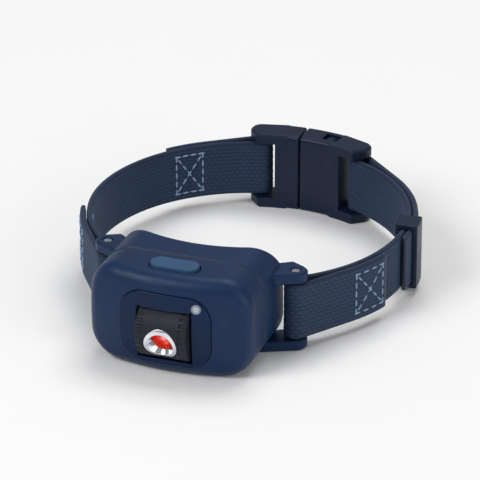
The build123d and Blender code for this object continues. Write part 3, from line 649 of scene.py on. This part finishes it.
def stitch_tree():
    """Geometry nodes that lay thread stitches end to end along curves."""
    tree = bpy.data.node_groups.new("stitch_run", "GeometryNodeTree")
    tree.interface.new_socket("Geometry", in_out="INPUT", socket_type="NodeSocketGeometry")
    sizes = {"Pitch": STITCH_PITCH, "Length": STITCH_LENGTH, "Thread Radius": THREAD_RADIUS}
    for label, value in sizes.items():
        socket = tree.interface.new_socket(label, in_out="INPUT", socket_type="NodeSocketFloat")
        socket.default_value = value
    tree.interface.new_socket("Thread", in_out="INPUT", socket_type="NodeSocketMaterial")
    tree.interface.new_socket("Geometry", in_out="OUTPUT", socket_type="NodeSocketGeometry")

    def add(kind, inputs=None, **settings):
        made = tree.nodes.new(kind)
        for label, value in settings.items():
            setattr(made, label, value)
        for label, value in (inputs or {}).items():
            made.inputs[label].default_value = value
        return made

    def join(source, output, target, socket):
        tree.links.new(source.outputs[output], target.inputs[socket])

    entry = add("NodeGroupInput")
    result = add("NodeGroupOutput")
    resample = add("GeometryNodeResampleCurve", mode="LENGTH")
    tangent = add("GeometryNodeInputTangent")
    turn = add("FunctionNodeAlignRotationToVector", axis="Z")
    bead = add("GeometryNodeMeshUVSphere", {"Segments": STITCH_SIDES, "Rings": STITCH_RINGS, "Radius": 0.5})
    thickness = add("ShaderNodeMath", {1: 2.0}, operation="MULTIPLY")
    size = add("ShaderNodeCombineXYZ")
    scatter = add("GeometryNodeInstanceOnPoints")
    realize = add("GeometryNodeRealizeInstances")
    smooth = add("GeometryNodeSetShadeSmooth")
    paint = add("GeometryNodeSetMaterial")
    join(entry, "Geometry", resample, "Curve")
    join(entry, "Pitch", resample, "Length")
    join(tangent, "Tangent", turn, "Vector")
    join(entry, "Thread Radius", thickness, 0)
    join(thickness, 0, size, "X")
    join(thickness, 0, size, "Y")
    join(entry, "Length", size, "Z")
    join(resample, "Curve", scatter, "Points")
    join(bead, "Mesh", scatter, "Instance")
    join(turn, "Rotation", scatter, "Rotation")
    join(size, "Vector", scatter, "Scale")
    join(scatter, "Instances", realize, "Geometry")
    join(realize, "Geometry", smooth, "Geometry")
    join(smooth, "Geometry", paint, "Geometry")
    join(entry, "Thread", paint, "Material")
    join(paint, "Geometry", result, "Geometry")
    return tree


def from_nodes(name, source, tree, **values):
    """Plain mesh that a node tree makes of a source object."""
    modifier = source.modifiers.new("nodes", "NODES")
    modifier.node_group = tree
    for item in tree.interface.items_tree:
        if item.in_out == "INPUT" and item.name in values:
            modifier[item.identifier] = values[item.name]
    shaped = source.evaluated_get(bpy.context.evaluated_depsgraph_get())
    mesh = bpy.data.meshes.new_from_object(shaped)
    mesh.name = name
    bpy.data.objects.remove(source)
    return link(name, mesh)


def seam_curve(lines):
    curve = bpy.data.curves.new("seam", "CURVE")
    curve.dimensions = "3D"
    for line in lines:
        spline = curve.splines.new("POLY")
        spline.points.add(len(line) - 1)
        for point, place in zip(spline.points, line):
            point.co = (*place, 1.0)
    return link("seam", curve)


def box_stitch(band, start, end, lift):
    """A sewn rectangle with a cross in it, on one face of the band between two lengths."""
    low, high = -STITCH_HALF_WIDTH, STITCH_HALF_WIDTH
    corners = [(start, low), (end, low), (end, high), (start, high)]
    runs = [(corners[k], corners[(k + 1) % 4], SIDE_STOP) for k in range(4)]
    runs += [(corners[k], corners[k + 2], CROSS_STOP) for k in range(2)]
    lines = []
    for (s0, z0), (s1, z1), stop in runs:
        shares = np.linspace(stop, 1 - stop, SEAM_POINTS)
        lines.append([band.at(s0 + (s1 - s0) * t, z0 + (z1 - z0) * t, lift) for t in shares])
    return lines


def sewn_fold(band, outer_start, outer_end):
    """Stitches through both layers of a fold: on the outside, and under it on the neck side."""
    face = band.half - THREAD_SINK
    bearings = []
    for place in (outer_start, outer_end):
        spot = band.at(place, 0.0, 0.0)
        bearings.append(math.atan2(abs(spot.x), -spot.y))
    inner = [band.inner_start + band.inner * (bearing - band.lug_bearing) for bearing in bearings]
    outer_lines = box_stitch(band, outer_start, outer_end, face)
    return outer_lines + box_stitch(band, min(inner), max(inner), face)


def band_half(half, band, folds, stitches):
    """The webbing of one half of the band and the stitches of its folds."""
    webbing = link(f"{half}_webbing", band.mesh(f"{half}_webbing"))
    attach(webbing, f"{half}_half")
    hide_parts(f"{half}_strap")
    seam = seam_curve([line for fold in folds for line in sewn_fold(band, *fold)])
    sewing = from_nodes(f"{half}_stitches", seam, stitches, Thread=finishes["thread"])
    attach(sewing, f"{half}_half")


def sewn_band():
    """Both halves of the band, each sewn at the pod, and the left one also at the clip."""
    right = Webbing(SOCKET_BAR, TAIL_LENGTH, side=1)
    left = Webbing(TONGUE_BAR, TONGUE_FOLD, side=-1)
    at_pod = (STITCH_MARGIN, FRONT_FOLD - STITCH_MARGIN)
    at_clip = (left.length - TONGUE_FOLD + STITCH_MARGIN, left.length - STITCH_MARGIN)
    stitches = stitch_tree()
    band_half("right", right, [at_pod], stitches)
    band_half("left", left, [at_pod, at_clip], stitches)


def bending_leads():
    """The laser's two leads, merged and cut across in slices between the turret and the board."""
    low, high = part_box("laser_leads")
    work = bmesh.new()
    work.from_mesh(nodes["laser_leads"].data)
    bmesh.ops.remove_doubles(work, verts=work.verts, dist=LEAD_MERGE)
    for level in np.arange(low.z + LEAD_SLICE, high.z, LEAD_SLICE):
        everything = [*work.verts, *work.edges, *work.faces]
        bmesh.ops.bisect_plane(work, geom=everything, plane_co=(0.0, 0.0, level), plane_no=(0.0, 0.0, 1.0))
    mesh = bpy.data.meshes.new("laser_wires")
    work.to_mesh(mesh)
    work.free()
    mesh.shade_smooth()
    mesh.materials.append(finishes["wire"])
    leads = link("laser_wires", mesh)
    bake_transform(leads)
    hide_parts("laser_leads")


def backdrop():
    """Pale floor level with the pod's underside, which glows where the lamps no longer reach it."""
    finish = Finish("pale_floor", Roughness=0.85)
    grain = finish.noise(60.0)
    finish.set("Base Color", finish.mix(grain, colour(0.97, 0.97, 0.97), colour(0.985, 0.985, 0.985)))
    away = (finish.axis("X") ** 2.0 + finish.axis("Y") ** 2.0) ** 0.5
    far = finish.rise(away, FLOOR_LIT, FLOOR_UNLIT)
    seen = finish.ray("Camera").above(finish.ray("Glossy")).above(finish.ray("Transmission"))
    glow = finish.node("ShaderNodeEmission", {}, {"Color": colour(0.96, 0.96, 0.96)})
    lit = Value(finish, finish.shader.outputs[0])
    finish.surface(finish.node("ShaderNodeMixShader", {}, {0: far * seen, 1: lit, 2: glow}))
    level = cad_box[0][2]
    corners = [(x * FLOOR_REACH, y * FLOOR_REACH, level) for x, y in ((-1, -1), (1, -1), (1, 1), (-1, 1))]
    mesh = bpy.data.meshes.new("floor")
    mesh.from_pydata(corners, [], [(0, 1, 2, 3)])
    mesh.materials.append(finish.material)
    link("floor", mesh)


def softbox(name, place, target, size, power):
    light = bpy.data.lights.new(name, "AREA")
    light.shape = "RECTANGLE"
    light.size, light.size_y = size
    light.energy = power
    lamp = link(name, light)
    lamp.location = place
    lamp.rotation_euler = (Vector(target) - Vector(place)).to_track_quat("-Z", "Y").to_euler()


def studio():
    """Even pale light all round, with a soft key, a fill and a top lamp."""
    world = bpy.data.worlds.new("studio")
    bpy.context.scene.world = world
    world.use_nodes = True
    sky = world.node_tree.nodes["Background"]
    sky.inputs["Color"].default_value = WHITE
    sky.inputs["Strength"].default_value = WORLD_STRENGTH
    softbox("key", place=(-0.38, -0.50, 0.55), target=(0.0, -0.01, 0.0), size=(0.40, 0.40), power=2.9)
    softbox("fill", place=(0.60, -0.30, 0.25), target=(0.0, -0.01, 0.0), size=(0.30, 0.45), power=1.0)
    softbox("top", place=(0.05, 0.30, 0.75), target=(0.0, 0.0, 0.0), size=(0.55, 0.40), power=2.9)


def camera():
    """Long lens in front of the pod, to one side and above it."""
    azimuth = math.radians(VIEW_AZIMUTH)
    elevation = math.radians(VIEW_ELEVATION)
    level = math.cos(elevation)
    towards = Vector((math.sin(azimuth) * level, -math.cos(azimuth) * level, math.sin(elevation)))
    lens = bpy.data.cameras.new("camera")
    lens.sensor_width = SENSOR_WIDTH
    lens.lens = SENSOR_WIDTH * VIEW_DISTANCE / VIEW_SPAN
    lens.clip_start, lens.clip_end = CLIP_RANGE
    eye = link("camera", lens)
    eye.location = VIEW_MIDDLE + towards * VIEW_DISTANCE
    eye.rotation_euler = (-towards).to_track_quat("-Z", "Y").to_euler()
    bpy.context.scene.camera = eye


dress_nodes()
sewn_band()
bending_leads()
backdrop()
studio()
camera()
bpy.context.scene.view_settings.view_transform = "Standard"
